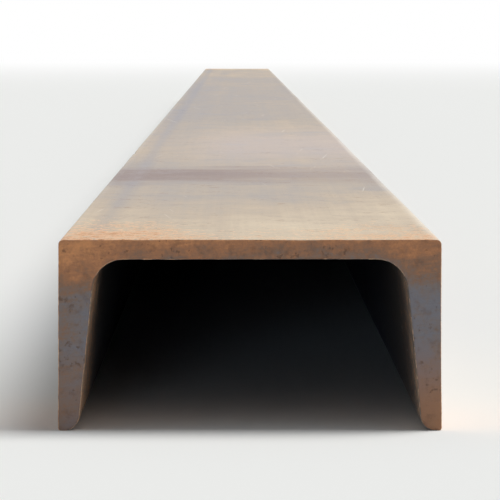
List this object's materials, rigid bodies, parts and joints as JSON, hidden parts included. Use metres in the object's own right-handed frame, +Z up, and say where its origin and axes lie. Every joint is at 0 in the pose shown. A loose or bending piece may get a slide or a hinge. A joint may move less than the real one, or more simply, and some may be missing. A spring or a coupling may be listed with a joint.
{
  "type": "steel channel section",
  "caption": "Straight hot-rolled steel channel bar with tapered flanges and rounded roots and toes, weathered with light rust, cut square at its ends; stock for frames and supports.",
  "frame": {"origin": "on the floor, under the middle of the bar", "axes": "+Y along the bar, away from the end that faces the viewer; +X across the depth of the section; +Z up from the toes to the back of the web"},
  "size_m": [0.1, 6, 0.05],
  "materials": {
    "steel": "hot-rolled mill scale with a thin bloom of tan and orange rust, browner on the cut ends"
  },
  "bodies": {
    "root": {"channel": "steel"}
  },
  "joints": []
}
